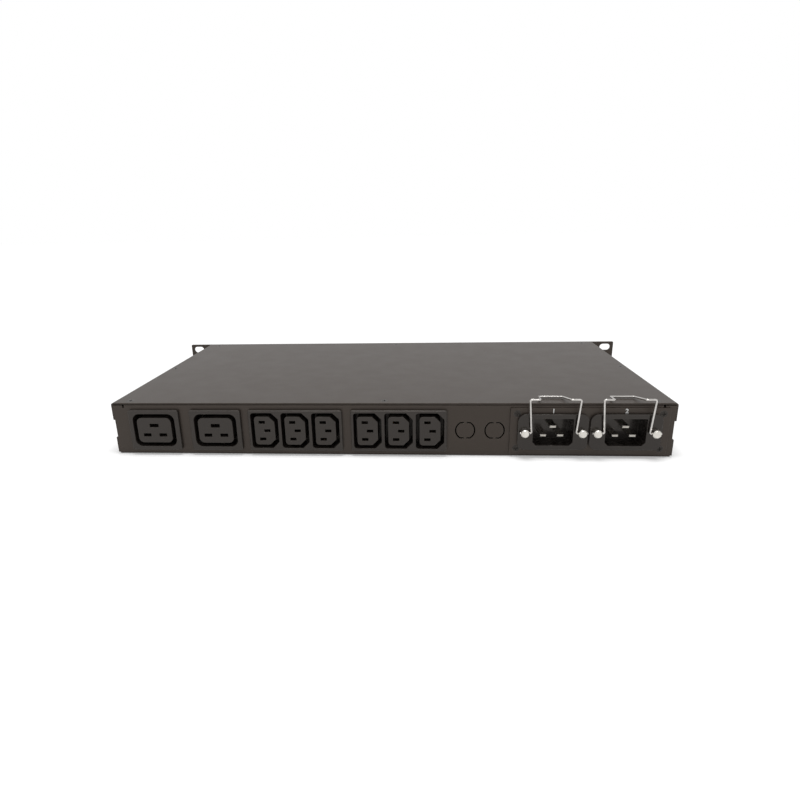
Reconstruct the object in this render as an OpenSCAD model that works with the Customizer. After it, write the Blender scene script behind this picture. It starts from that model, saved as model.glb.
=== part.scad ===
// Rack static transfer switch, one rack unit high.
// Two mains inlets with wire retaining bails and two outlet groups on the rear face,
// controls and rack ears on the front face, switching electronics inside.
// Frame: +X to the right seen from the rear, +Y from the rear face to the front panel,
// +Z up. The origin is the centre of the four rack slots on the back face of the ears.

/* [Rack unit] */
// Width across the rack ears
rack_width = 482.6; // [478:0.1:486]
// Height of the front panel and of the body
panel_height = 43.6; // [43:0.1:44.4]
// Width of the body between the rack posts
body_width = 438; // [430:1:446]
// Depth from the back face of the ears to the rear face
body_depth = 218; // [205:1:400]
// Thickness of the folded sheet
sheet = 1.2; // [1:0.1:1.5]
// Outside radius of the folds
fold_radius = 2; // [1.8:0.1:2.4]
// Thickness of the front panel
front_plate = 2; // [2:0.1:3]
// Distance from the end of an ear to the middle of its slots
slot_inset = 8.75; // [8:0.05:9.5]
// Distance between the slot rows of the ears
slot_pitch_z = 31.75; // [31:0.05:32.5]
// Length of a rack slot
slot_length = 11.5; // [10:0.1:12]
// Height of a rack slot
slot_height = 7.1; // [6.5:0.1:7.4]

/* [Cover and tray] */
// Width of the flanges folded inward at the top of the tray
flange_width = 12; // [11:0.5:16]
// Width left between the rear wall flange and each side
corner_relief = 9; // [8:0.5:12]
// Play between the cover sides and the tray
cover_play = 0.1; // [0.05:0.05:0.3]
// Height of the notch in the rear end of each cover side
notch_height = 15; // [10:0.5:20]
// Depth of that notch
notch_depth = 6; // [3:0.5:9]
// Height of the tray edge that shows below each cover side
hem_height = 1.5; // [1:0.1:2]
// Distance of the corner cover screws from the sides of the body
cover_screw_side = 13.5; // [12.5:0.5:18]
// Distance of the rear and front cover screws from the ends of the cover
cover_screw_inset = 6; // [5:0.1:7]
// Distance of the middle side screws from the side of the body
side_screw_inset = 6; // [5:0.1:8]

/* [Screws] */
// Thread diameter of the case screws
screw_d = 3; // [2.5:0.1:3]
// Head diameter of the case screws
screw_head_d = 5.5; // [5:0.1:5.8]
// Play around screws and rivets
screw_play = 0.1; // [0.05:0.05:0.2]

/* [Rear sockets] */
// Height of the socket row above the middle of the rear face
socket_z = -0.4; // [-0.5:0.1:0.5]
// Height of every socket bezel
bezel_height = 33.6; // [33.2:0.1:34.5]
// Thickness of the bezels in front of the rear wall
bezel_t = 2.5; // [1.5:0.1:3]
// Lip of a bezel beyond the body behind it
bezel_lip = 1.1; // [0.9:0.1:1.3]
// Depth of the socket bodies behind the rear wall face
socket_depth = 23; // [21:0.5:30]
// Depth of the grooves that take a connector shroud
groove_depth = 16.5; // [15:0.5:18]
// Width of the bevel around the bezels and the inlet flanges
bezel_bevel = 0.5; // [0.2:0.1:0.8]
// Width of a large outlet bezel
large_bezel_w = 41.2; // [39:0.1:42]
// Distance from the left side of the body to the middle of the first large outlet
large_side = 34.5; // [33:0.5:35]
// Distance between the two large outlets
large_pitch = 50.2; // [45:0.1:51]
// Width of the shroud recess of a large outlet
large_recess_w = 34.4; // [33:0.1:35]
// Height of the shroud recess of a large outlet
large_recess_h = 27.4; // [26:0.1:28]
// Width of the groove around the large contact block
large_groove = 3.3; // [2.5:0.1:3.5]
// Distance from the second large outlet to the middle of the first bank of small outlets
bank_step = 64.1; // [62:0.1:66]
// Distance between the two banks
bank_pitch = 81.4; // [77:0.1:82]
// Distance between outlets in a bank
small_pitch = 24.25; // [23.9:0.05:25]
// Width of the shroud recess of a small outlet
small_recess_w = 22; // [21:0.1:22.2]
// Height of the shroud recess of a small outlet
small_recess_h = 29.4; // [29:0.1:29.6]
// Width of the groove around the small contact block
small_groove = 3; // [2.5:0.1:3.2]
// Outlets in a bank
small_count = 3; // [1:1:3]

/* [Knock-outs] */
// Distance from the inlet plate to the middle of the nearer knock-out
knockout_side = 11.4; // [10:0.1:13]
// Distance between the knock-outs
knockout_pitch = 22.5; // [20:0.5:23]
// Diameter of a knock-out
knockout_d = 15.6; // [12:0.1:16]
// Height across its flats
knockout_flats = 13.6; // [10:0.1:14]
// Width of the ring cut
knockout_cut = 1; // [0.6:0.1:1.2]
// Width of the bridges that hold a knock-out
knockout_bridge = 2; // [1:0.1:2.5]

/* [Mains inlets] */
// Distance from the inlet plate to the right side of the body
plate_side = 5.2; // [4:0.1:6.5]
// Distance between the two inlets
inlet_pitch = 53.6; // [53.2:0.1:54.5]
// Width of the inlet plate
plate_w = 117.4; // [115:0.1:118]
// Height of the inlet plate
plate_h = 37.4; // [36:0.1:38]
// Thickness of the inlet plate
plate_t = 1.2; // [1:0.1:1.5]
// Width of an inlet flange
inlet_flange_w = 52.6; // [51:0.1:52.8]
// Height of an inlet flange
inlet_flange_h = 28.8; // [27:0.1:29.5]
// Thickness of an inlet flange
inlet_flange_t = 2.5; // [2:0.1:3]
// Corner radius of an inlet flange
inlet_flange_r = 6; // [5.5:0.1:7]
// Width of the inlet cavity
cavity_w = 30; // [29:0.1:31]
// Height of the inlet cavity
cavity_h = 21.6; // [21:0.1:22.5]
// Depth of the inlet cavity
cavity_depth = 16; // [14:0.5:18]
// Cut of the lower corners of the inlet cavity
cavity_cut = 2.6; // [2:0.1:4]
// Wall of the inlet body around the cavity
inlet_wall = 2; // [1.6:0.1:2.2]
// Width of a blade
blade_w = 5; // [4:0.1:5.5]
// Thickness of a blade
blade_t = 2; // [1.8:0.1:2.2]
// How far the line and neutral blades end behind the flange face
blade_recess = 3.4; // [2:0.1:5]
// How far the earth blade ends behind the flange face
earth_recess = 1; // [0.5:0.1:2]

/* [Retaining bails] */
// Distance between the two posts of an inlet
post_pitch = 42.5; // [41.8:0.1:43]
// Diameter of a post
post_d = 6.4; // [5.6:0.1:6.6]
// Length of a post in front of the inlet flange
post_length = 4.6; // [4.2:0.1:6]
// Distance of the cross hole from the front end of a post
cross_hole_inset = 2.5; // [2.2:0.1:2.7]
// Diameter of the bail wire
wire_d = 1.5; // [1.4:0.1:1.8]
// Radial play of the wire in the cross hole
wire_play = 0.05; // [0.02:0.01:0.1]
// Bend radius along the middle of the wire
wire_bend_r = 1.3; // [1.2:0.1:1.6]
// How far the wire ends stand out of the posts
wire_end = 0.7; // [0.4:0.1:1.2]
// Distance of a leg from the post beside it, at the hinge
leg_inset = 4.7; // [4.7:0.1:5.2]
// Outward lean of each leg at its top
leg_lean = 2.1; // [0:0.1:2.5]
// Height of the bail above its hinge
bail_height = 26.6; // [24:0.1:30]
// Width of the cord loop where it leaves the bail
loop_mouth = 22.6; // [16:0.1:24]
// Width of the cord loop at its closed end
loop_end = 17.6; // [12:0.1:19]
// Depth of the cord loop
loop_depth = 17.8; // [14:0.1:20]
// Drop of the closed end of the cord loop
loop_drop = 3.2; // [1:0.1:3.4]

/* [Front controls] */
// Centre of the display window
display_x = -95; // [-110:1:-80]
// Width of the display window
display_w = 66; // [60:1:72]
// Height of the display window
display_h = 20; // [18:0.5:22]
// Centre of the first push button
button_x = -42; // [-44:1:-40]
// Distance between push buttons
button_pitch = 14; // [12:0.5:15]
// Diameter of a push button
button_d = 7; // [6:0.1:8]
// Travel of a push button
button_travel = 1; // [0.6:0.1:1.2]
// Play around a push button
button_play = 0.3; // [0.2:0.05:0.4]
// Centre of the first status lamp
lamp_x = 30; // [28:1:34]
// Distance between status lamps
lamp_pitch = 11; // [9:0.5:12]
// Diameter of a status lamp
lamp_d = 3; // [2.5:0.1:4]
// Centre of the network port
port_x = 118; // [112:1:125]

/* [Electronics] */
// Thickness of the circuit boards
board_t = 1.6; // [1.2:0.1:2]
// Height of the stand-offs under the boards
standoff_h = 6; // [5:0.5:8]
// Width of the power board
power_board_w = 290; // [280:1:300]
// Depth of the power board
power_board_d = 96; // [90:1:100]
// Width of the heat sink
heatsink_w = 190; // [180:1:200]
// Depth of the heat sink
heatsink_d = 48; // [46:1:50]
// Thickness of the heat sink base
heatsink_base = 5; // [4:0.5:7]
// Height of the heat sink fins
fin_h = 16; // [10:0.5:20]
// Number of heat sink fins
fin_count = 7; // [4:1:7]

/* [Hidden] */

$fn = 48;
eps = 0.01;

// Main faces
slot_pitch_x = rack_width - 2 * slot_inset;
bottom_z = -panel_height / 2;
top_z = panel_height / 2;
rear_y = -body_depth;
floor_z = bottom_z + sheet;
roof_z = top_z - sheet;
tray_w = body_width - 2 * (sheet + cover_play);
rear_flange_w = tray_w - 2 * corner_relief;
flange_gap = 2;
side_flange_y0 = rear_y + flange_width + flange_gap;
side_flange_y1 = -flange_width - flange_gap;
corner_gap = fold_radius - sheet;
relief_gap = 1.2;
relief_depth = 3;

// Screws
head_h = (screw_head_d - screw_d) / 2;
sink_d = screw_head_d + 2 * screw_play;
hole_d = screw_d + 2 * screw_play;
cover_screw_length = 6;
cross_w = 0.8;
cross_l = 3.2;
cross_depth = 0.9;
cover_screws_at = concat(
    [for (x = [-1, 0, 1], y = [rear_y + cover_screw_inset, -cover_screw_inset])
        [x * (body_width / 2 - cover_screw_side), y]],
    [for (x = [-1, 1]) [x * (body_width / 2 - side_screw_inset), rear_y / 2]]);

// Outlets
large_x = -body_width / 2 + large_side;
bank_x = large_x + large_pitch + bank_step;
bezel_r = 1.6;
bezel_rim = 0.9;
catch_w = 8;
catch_l = 6;
catch_t = 0.8;
body_h = bezel_height - 2 * bezel_lip;
cutout_play = 0.15;
block_r = 4;
small_corner_r = 2.5;
small_chamfer = 5.2;
block_chamfer = 4.4;
contact_pitch_large = 13;
contact_rise_large = 4;
contact_pitch_small = 14;
contact_shift_small = 2;
large_slot = [6.4, 2.8];
large_earth_slot = [7.4, 3];
small_slot = [5, 2.4];
clip_t = 0.8;
clip_play = 0.1;
clip_length = 9;
clip_wall = 1;
clip_pinch = 0.6;
tab_w = 6.3;
tab_t = 0.8;
tab_length = 9;
bank_w = (small_count - 1) * small_pitch + small_recess_w + 2 * (bezel_lip + bezel_rim);

// Inlets and knock-outs
inlet_mid_x = body_width / 2 - plate_side - plate_w / 2;
knockout_x = inlet_mid_x - plate_w / 2 - knockout_side - knockout_pitch;
flange_face_y = rear_y - plate_t - inlet_flange_t;
inlet_floor = 3;
inlet_back_y = flange_face_y + cavity_depth + inlet_floor;
inlet_body_r = 2;
cavity_r = 1;
blade_tip = 0.5;
plate_r = 1;
plate_screw_inset = 5.1;
plate_screw_x = plate_w / 2 - plate_screw_inset;
plate_screw_z = 14;
hinge_y = flange_face_y - post_length + cross_hole_inset;
post_shank_d = 3;
post_edge = 0.8;
post_bevel = 0.7;
post_tail = 1;
nut_w = 5.5;
nut_t = 2.4;
post_end_y = rear_y + sheet + nut_t + post_tail;
leg_x = post_pitch / 2 - leg_inset;
bend_swell = 0.05;
bend_overlap = 0.15;

// Front controls
display_ledge = 2;
display_t = 1.5;
display_gap = 0.3;
display_play = 0.1;
display_r = 1.5;
display_frame = [1, 2];
front_board_y = -14;
front_board_w = 220;
front_board_h = 34;
front_board_x = -30;
lamp_count = 5;
lamp_proud = 0.4;
lamp_foot = 3;
lamp_foot_w = 1;
button_count = 4;
button_proud = 1.4;
button_bevel = 0.5;
button_flange_t = 1;
button_flange_d = button_d + 2.4;
button_rest_gap = 0.3;
switch_w = 6;
switch_h = 3.6;
plunger_d = 3;
plunger_h = 2;
spacer_d = 5;
spacer_inset = [5, 4];
port_w = 16;
port_h = 13.4;
port_d = 21;
port_mouth = [11.8, 8.2];
port_mouth_depth = 13;
port_key = [6, 3];
port_proud = 0.2;
panel_screw_inset = 12;
panel_screw_x = tray_w / 2 - panel_screw_inset;
panel_screw_z = 13;

// Boards and what stands on them
board_z = floor_z + standoff_h;
board_top_z = board_z + board_t;
power_board_x = -48;
power_board_rear = 38;
power_board_y = rear_y + power_board_rear + power_board_d / 2;
control_board_w = 92;
control_board_d = 76;
control_board_x = 146;
control_board_front = 6;
control_board_y = -control_board_front - control_board_d / 2;
board_hole_inset = 5;
standoff_d = 6;
standoff_floor = 1;
pan_head_d = 5.5;
pan_head_h = 2;
thread_grip = 3;
heatsink_gap = 6;
heatsink_x = -25;
heatsink_y = power_board_y + power_board_d / 2 + heatsink_gap + heatsink_d / 2;
fin_clear = 2;
module_size = [38, 24, 12];
module_count = 4;
module_pitch = 46;
module_foot = 8;
module_foot_t = 3;
module_hole_inset = 4;
fin_t = 1.6;
relay_size = [29, 12.8, 25];
relay_count = 4;
relay_edge = 34;
relay_pitch = 36;
relay_bevel = 1;
sensor_bore = 8;
sensor_d = 22;
sensor_w = 9;
sensor_at = [16, 28];
sensor_pitch = 30;
core_size = [34, 14, 24];
winding_size = [24, 28, 17];
transformer_at = [70, -20];
transformer_pitch = 44;
capacitor_d = 13;
capacitor_h = 22;
capacitor_at = [60, 22];
capacitor_pitch = 20;
capacitor_count = 4;
crimp_z = 3;
crimp_t = 0.8;
fuse_d = 5.6;
fuse_length = 20;
fuse_axis_z = 5;
fuse_at = [-120, 34];
fuse_pitch = 40;
fuse_grip = 8;
holder_size = [5, 8, 9];
holder_wall = 1;
holder_floor = 2;
terminal_size = [30, 12, 14];
terminal_row = 8;
terminals_x = [-110, -40, 60, 110];
terminal_pitch = 10;
terminal_bore = 4;
terminal_bore_depth = 6;
terminal_bore_z = 4;
terminal_screw_d = 4.5;
terminal_screw_depth = 4;
chip_t = 1.6;
chips_at = [[-20, 8, 14], [8, 18, 10], [-24, -14, 18], [10, -16, 12]];

// Slabs in the plane of the rear face, from y0 to y1; the children are drawn as (x, z).
module across(y0, y1) {
    translate([0, y1, 0])
        rotate([90, 0, 0])
            linear_extrude(y1 - y0) children();
}

// Bars along the width, from x0 to x1; the children are drawn as (y, z).
module along_x(x0, x1) {
    translate([x0, 0, 0])
        rotate([90, 0, 90])
            linear_extrude(x1 - x0) children();
}

module centred(w, h) {
    square([w, h], center = true);
}

module rounded(w, h, r) {
    centred(w - 2 * r, h);
    centred(w, h - 2 * r);
    for (x = [-1, 1], z = [-1, 1])
        translate([x * (w / 2 - r), z * (h / 2 - r)]) circle(r);
}

// Slab across the width like across() with rounded(), its front edges cut by a bevel.
module bevelled(w, h, r, y0, y1, bevel) {
    intersection() {
        across(y0, y1) rounded(w, h, r);
        along_x(-w / 2 - 1, w / 2 + 1)
            polygon([[y0, -h / 2 + bevel], [y0 + bevel, -h / 2], [y1 + 1, -h / 2],
                     [y1 + 1, h / 2], [y0 + bevel, h / 2], [y0, h / 2 - bevel]]);
        translate([0, 0, -h / 2 - 1])
            linear_extrude(h + 2)
                polygon([[-w / 2 + bevel, y0], [w / 2 - bevel, y0], [w / 2, y0 + bevel],
                         [w / 2, y1 + 1], [-w / 2, y1 + 1], [-w / 2, y0 + bevel]]);
    }
}

// Rectangle with round left corners and cut right corners, the form of a small outlet.
module outlet_form(w, h, r, c) {
    polygon([[-w / 2 + r, -h / 2], [w / 2 - c, -h / 2], [w / 2, -h / 2 + c],
             [w / 2, h / 2 - c], [w / 2 - c, h / 2], [-w / 2 + r, h / 2],
             [-w / 2, h / 2 - r], [-w / 2, -h / 2 + r]]);
    for (z = [-1, 1])
        translate([-w / 2 + r, z * (h / 2 - r)]) circle(r);
}

// Countersunk screw along +Z with the top of its head at z = 0.
module screw(length) {
    difference() {
        union() {
            translate([0, 0, -head_h]) cylinder(h = head_h, d1 = screw_d, d2 = screw_head_d);
            translate([0, 0, -length]) cylinder(h = length - head_h + eps, d = screw_d);
        }
        for (a = [0, 90])
            rotate(a)
                translate([-cross_l / 2, -cross_w / 2, -cross_depth])
                    cube([cross_l, cross_w, cross_depth + 1]);
    }
}

// Countersunk hole through a sheet that lies below z = 0.
module screw_hole(depth) {
    translate([0, 0, -head_h]) cylinder(h = head_h + eps, d1 = hole_d, d2 = sink_d);
    translate([0, 0, eps]) cylinder(h = 1, d = sink_d);
    translate([0, 0, -depth]) cylinder(h = depth, d = hole_d);
}

// ---- case -------------------------------------------------------------------------

// Open channel with round outer folds at the bottom, drawn as (x, z).
module channel(w, z0, z1, r) {
    translate([-w / 2, z0 + r]) square([w, z1 - z0 - r]);
    translate([-w / 2 + r, z0]) square([w - 2 * r, r]);
    for (x = [-1, 1])
        translate([x * (w / 2 - r), z0 + r]) circle(r);
}

// Closed box section of the tray with its four folds, drawn as (x, z).
module tray_ring() {
    difference() {
        translate([0, (bottom_z + roof_z) / 2])
            rounded(tray_w, roof_z - bottom_z, fold_radius);
        translate([0, (floor_z + roof_z - sheet) / 2])
            rounded(tray_w - 2 * sheet, roof_z - sheet - floor_z, fold_radius - sheet);
        translate([0, roof_z]) centred(tray_w - 2 * flange_width, 4 * sheet);
    }
}

// Rear wall with its fold to the floor, drawn as (y, z): with the top flange over its
// middle, and straight up to the height of the cover's inner fold at its ends.
module rear_wall_section(flange) {
    r = fold_radius;
    z1 = flange ? roof_z - r : roof_z - corner_gap;
    difference() {
        union() {
            translate([rear_y, bottom_z + r]) square([flange_width, z1 - bottom_z - r]);
            translate([rear_y + r, bottom_z])
                square([flange_width - r, (flange ? roof_z : z1) - bottom_z]);
            translate([rear_y + r, bottom_z + r]) circle(r);
            if (flange) translate([rear_y + r, z1]) circle(r);
        }
        translate([rear_y + sheet, floor_z])
            square([flange_width, flange ? roof_z - sheet - floor_z : panel_height]);
    }
}

module socket_cutouts() {
    for (i = [0, 1])
        translate([large_x + i * large_pitch, socket_z])
            centred(large_bezel_w - 2 * bezel_lip + 2 * cutout_play, body_h + 2 * cutout_play);
    for (i = [0, 1])
        translate([bank_x + i * bank_pitch, socket_z])
            centred(bank_w - 2 * bezel_lip + 2 * cutout_play, body_h + 2 * cutout_play);
}

module inlet_openings() {
    for (i = [-1, 1])
        translate([inlet_mid_x + i * inlet_pitch / 2, socket_z]) {
            rounded(cavity_w + 2 * inlet_wall + 2 * cutout_play,
                    cavity_h + 2 * inlet_wall + 2 * cutout_play, inlet_body_r);
            for (s = [-1, 1])
                translate([s * post_pitch / 2, 0]) circle(d = post_shank_d + 2 * screw_play);
        }
}

module knockout_form(inset) {
    intersection() {
        circle(d = knockout_d - 2 * inset);
        centred(knockout_d, knockout_flats - 2 * inset);
    }
}

module knockouts() {
    for (i = [0, 1])
        translate([knockout_x + i * knockout_pitch, socket_z])
            difference() {
                knockout_form(0);
                knockout_form(knockout_cut);
                centred(knockout_bridge, knockout_d);
            }
}

module panel_openings() {
    translate([display_x, 0]) centred(display_w - 2 * display_ledge, display_h - 2 * display_ledge);
    for (i = [0:button_count - 1])
        translate([button_x + i * button_pitch, 0]) circle(d = button_d + 2 * button_play);
    for (i = [0:lamp_count - 1])
        translate([lamp_x + i * lamp_pitch, 0]) circle(d = lamp_d + 2 * screw_play);
    translate([port_x, board_top_z + port_h / 2])
        centred(port_w + 2 * cutout_play, port_h + 2 * cutout_play);
}

module chassis_tray() {
    color("#2f2c2a")
    difference() {
        union() {
            // floor and sides, with the side flanges that carry the middle cover screws
            difference() {
                across(rear_y + fold_radius, 0) tray_ring();
                for (y = [[rear_y, side_flange_y0], [side_flange_y1, 1]])
                    translate([-body_width / 2, y[0], roof_z - fold_radius])
                        cube([body_width, y[1] - y[0], panel_height]);
            }
            along_x(-rear_flange_w / 2, rear_flange_w / 2) rear_wall_section(true);
            for (s = [-1, 1])
                along_x(s > 0 ? rear_flange_w / 2 - eps : -tray_w / 2,
                        s > 0 ? tray_w / 2 : -rear_flange_w / 2 + eps)
                    rear_wall_section(false);
            // front wall and its top flange
            across(-sheet, 0) {
                translate([-tray_w / 2 + sheet / 2, floor_z - eps])
                    square([tray_w - sheet, roof_z - fold_radius - floor_z + eps]);
                translate([-tray_w / 2 + fold_radius, floor_z])
                    square([tray_w - 2 * fold_radius, roof_z - floor_z]);
            }
            translate([-rear_flange_w / 2, -flange_width, roof_z - sheet])
                cube([rear_flange_w, flange_width, sheet]);
        }
        // relief notches beside the rear flange
        for (s = [-1, 1])
            translate([s * (rear_flange_w / 2 + relief_gap / 2), rear_y + sheet, roof_z])
                cube([relief_gap, 4 * sheet, 2 * relief_depth], center = true);
        across(rear_y - 1, rear_y + sheet + 1) {
            socket_cutouts();
            inlet_openings();
            knockouts();
        }
        across(-sheet - 1, 1) panel_openings();
        for (p = cover_screws_at)
            translate([p[0], p[1], roof_z - 2 * sheet]) cylinder(h = 3 * sheet, d = hole_d);
        for (x = [-1, 1], z = [-1, 1]) {
            translate([x * panel_screw_x, 1, z * panel_screw_z])
                rotate([90, 0, 0]) cylinder(h = 1 + 2 * sheet, d = hole_d);
            translate([inlet_mid_x + x * plate_screw_x, rear_y - 1, socket_z + z * plate_screw_z])
                rotate([-90, 0, 0]) cylinder(h = 1 + 2 * sheet, d = hole_d);
        }
    }
}

module top_cover() {
    color("#6b6661")
    difference() {
        across(rear_y, 0)
            difference() {
                mirror([0, 1])
                    channel(body_width, -top_z, -(bottom_z + hem_height), fold_radius);
                mirror([0, 1])
                    channel(body_width - 2 * sheet, -roof_z, panel_height, fold_radius - sheet);
            }
        // finger notches at the rear ends of the sides
        along_x(-body_width, body_width)
            translate([rear_y, 0]) rounded(2 * notch_depth, notch_height, 1);
        for (p = cover_screws_at)
            translate([p[0], p[1], top_z]) screw_hole(2 * sheet);
    }
}

module cover_screws() {
    color("#8a8885")
    for (p = cover_screws_at)
        translate([p[0], p[1], top_z]) screw(cover_screw_length);
}

module front_panel() {
    color("#33302e")
    difference() {
        across(0, front_plate) rounded(rack_width, panel_height, 1);
        for (x = [-1, 1], z = [-1, 1])
            across(-1, front_plate + 1)
                translate([x * slot_pitch_x / 2, z * slot_pitch_z / 2])
                    rounded(slot_length, slot_height, slot_height / 2 - eps);
        across(-1, front_plate + 1) panel_openings();
        across(front_plate - display_t, front_plate + 1)
            translate([display_x, 0]) rounded(display_w, display_h, display_r);
        for (x = [-1, 1], z = [-1, 1])
            translate([x * panel_screw_x, front_plate, z * panel_screw_z])
                rotate([-90, 0, 0]) screw_hole(front_plate + 1);
    }
}

module panel_screws() {
    color("#8a8885")
    for (x = [-1, 1], z = [-1, 1])
        translate([x * panel_screw_x, front_plate, z * panel_screw_z])
            rotate([-90, 0, 0]) screw(cover_screw_length);
}

// ---- outlets ----------------------------------------------------------------------

// Bezel with a bevelled front edge and the body behind the wall; children cut it.
module socket_shell(w) {
    difference() {
        union() {
            bevelled(w, bezel_height, bezel_r, rear_y - bezel_t, rear_y, bezel_bevel);
            across(rear_y - eps, rear_y + socket_depth)
                centred(w - 2 * bezel_lip, body_h);
            // snap catches behind the wall
            for (s = [-1, 1])
                translate([s * (w / 2 - bezel_lip), rear_y + sheet + cutout_play,
                           -catch_w / 2])
                    linear_extrude(catch_w)
                        polygon([[0, 0], [s * catch_t, 0], [0, catch_l]]);
        }
        children();
    }
}

// Slot for a contact: the opening in the block and the pocket behind it.
module contact_slot(size) {
    across(rear_y - bezel_t - 1, rear_y + socket_depth - clip_length) centred(size[0], size[1]);
    across(rear_y + socket_depth - clip_length - eps, rear_y + socket_depth + 1)
        centred(size[0] + 2 * clip_t, size[1] + 2 * clip_t);
}

// Spring clip in its pocket with the tab for the lead.
module contact_clip(size) {
    difference() {
        across(rear_y + socket_depth - clip_length, rear_y + socket_depth)
            centred(size[0] + 2 * (clip_t - clip_play), size[1] + 2 * (clip_t - clip_play));
        across(rear_y + socket_depth - clip_length - 1, rear_y + socket_depth - clip_wall)
            centred(size[0], size[1] - clip_pinch);
    }
    across(rear_y + socket_depth - eps, rear_y + socket_depth + tab_length)
        centred(tab_w, tab_t);
}

// The three contacts of a large outlet, earth above.
module at_large_contacts() {
    for (s = [-1, 1])
        translate([s * contact_pitch_large / 2, 0, -contact_rise_large]) children(0);
    translate([0, 0, contact_rise_large]) children(1);
}

// The three contacts of a small outlet, earth to the right.
module at_small_contacts() {
    for (s = [-1, 1])
        translate([-contact_shift_small, 0, s * contact_pitch_small / 2]) children();
    translate([contact_shift_small, 0, 0]) children();
}

module c19_outlet(i) {
    translate([large_x + i * large_pitch, 0, socket_z])
        socket_shell(large_bezel_w) {
            across(rear_y - bezel_t - 1, rear_y - bezel_t + groove_depth)
                difference() {
                    rounded(large_recess_w, large_recess_h, block_r + large_groove / 2);
                    rounded(large_recess_w - 2 * large_groove,
                            large_recess_h - 2 * large_groove, block_r);
                }
            at_large_contacts() {
                contact_slot(large_slot);
                contact_slot(large_earth_slot);
            }
        }
}

module c19_contacts() {
    color("#c9a352")
    for (i = [0, 1])
        translate([large_x + i * large_pitch, 0, socket_z])
            at_large_contacts() {
                contact_clip(large_slot);
                contact_clip(large_earth_slot);
            }
}

module at_small_outlets(bank) {
    for (i = [0:small_count - 1])
        translate([bank_x + bank * bank_pitch + (i - (small_count - 1) / 2) * small_pitch,
                   0, socket_z])
            children();
}

module c13_bank(bank) {
    difference() {
        translate([bank_x + bank * bank_pitch, 0, socket_z]) socket_shell(bank_w);
        at_small_outlets(bank) {
            across(rear_y - bezel_t - 1, rear_y - bezel_t + groove_depth)
                difference() {
                    outlet_form(small_recess_w, small_recess_h, small_corner_r, small_chamfer);
                    outlet_form(small_recess_w - 2 * small_groove,
                                small_recess_h - 2 * small_groove, small_corner_r,
                                block_chamfer);
                }
            at_small_contacts() contact_slot(small_slot);
        }
    }
}

module c13_contacts() {
    color("#c9a352")
    for (bank = [0, 1])
        at_small_outlets(bank) at_small_contacts() contact_clip(small_slot);
}

module c19_outlet_1() {
    color("#3d3b39") c19_outlet(0);
}

module c19_outlet_2() {
    color("#3d3b39") c19_outlet(1);
}

module c13_bank_1() {
    color("#3d3b39") c13_bank(0);
}

module c13_bank_2() {
    color("#3d3b39") c13_bank(1);
}

// ---- inlets -----------------------------------------------------------------------

module inlet_plate() {
    color("#3a3735")
    difference() {
        across(rear_y - plate_t, rear_y)
            translate([inlet_mid_x, socket_z]) rounded(plate_w, plate_h, plate_r);
        across(rear_y - plate_t - 1, rear_y + 1) inlet_openings();
        for (x = [-1, 1], z = [-1, 1])
            translate([inlet_mid_x + x * plate_screw_x, rear_y - plate_t,
                       socket_z + z * plate_screw_z])
                rotate([90, 0, 0]) screw_hole(plate_t + 1);
    }
}

module plate_screws() {
    color("#4a4846")
    for (x = [-1, 1], z = [-1, 1])
        translate([inlet_mid_x + x * plate_screw_x, rear_y - plate_t,
                   socket_z + z * plate_screw_z])
            rotate([90, 0, 0]) screw(cover_screw_length);
}

// Inlet cavity outline: the lower corners are cut, the upper ones slightly round.
module cavity_form() {
    c = cavity_cut;
    r = cavity_r;
    w = cavity_w / 2;
    h = cavity_h / 2;
    polygon([[-w + c, -h], [w - c, -h], [w, -h + c], [w, h - r], [w - r, h],
             [-w + r, h], [-w, h - r], [-w, -h + c]]);
    for (x = [-1, 1])
        translate([x * (w - r), h - r]) circle(r);
}

module c20_inlet() {
    difference() {
        union() {
            bevelled(inlet_flange_w, inlet_flange_h, inlet_flange_r, flange_face_y,
                     rear_y - plate_t, bezel_bevel);
            across(rear_y - plate_t - eps, inlet_back_y)
                rounded(cavity_w + 2 * inlet_wall, cavity_h + 2 * inlet_wall, inlet_body_r);
        }
        across(flange_face_y - 1, flange_face_y + cavity_depth) cavity_form();
        at_blades([0, 0]) across(flange_face_y, inlet_back_y + 1) centred(blade_w, blade_t);
        for (s = [-1, 1])
            translate([s * post_pitch / 2, flange_face_y - 1, 0])
                rotate([-90, 0, 0]) cylinder(h = inlet_flange_t + 2, d = post_shank_d + 2 * screw_play);
    }
}

// The three blades of an inlet, earth above, moved along Y by inset = [power, earth].
module at_blades(inset) {
    for (s = [-1, 1])
        translate([s * contact_pitch_large / 2, inset[0], -contact_rise_large]) children();
    translate([0, inset[1], contact_rise_large]) children();
}

// Blades from their tips to the tabs behind the inlet.
module inlet_blades() {
    at_blades([blade_recess, earth_recess])
        bevelled(blade_w, blade_t, blade_tip / 2, flange_face_y, inlet_back_y, blade_tip);
    at_blades([0, 0]) {
        across(inlet_back_y - blade_recess, inlet_back_y + 1) centred(blade_w, blade_t);
        across(inlet_back_y + 1 - eps, inlet_back_y + tab_length) centred(tab_w, tab_t);
    }
}

module at_inlet(i) {
    translate([inlet_mid_x + (i - 0.5) * inlet_pitch, 0, socket_z]) children();
}

module c20_inlet_a() {
    color("#353331") at_inlet(0) c20_inlet();
}

module c20_inlet_b() {
    color("#353331") at_inlet(1) c20_inlet();
}

module inlet_blades_a() {
    color("#d8d4cc") at_inlet(0) inlet_blades();
}

module inlet_blades_b() {
    color("#d8d4cc") at_inlet(1) inlet_blades();
}

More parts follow.
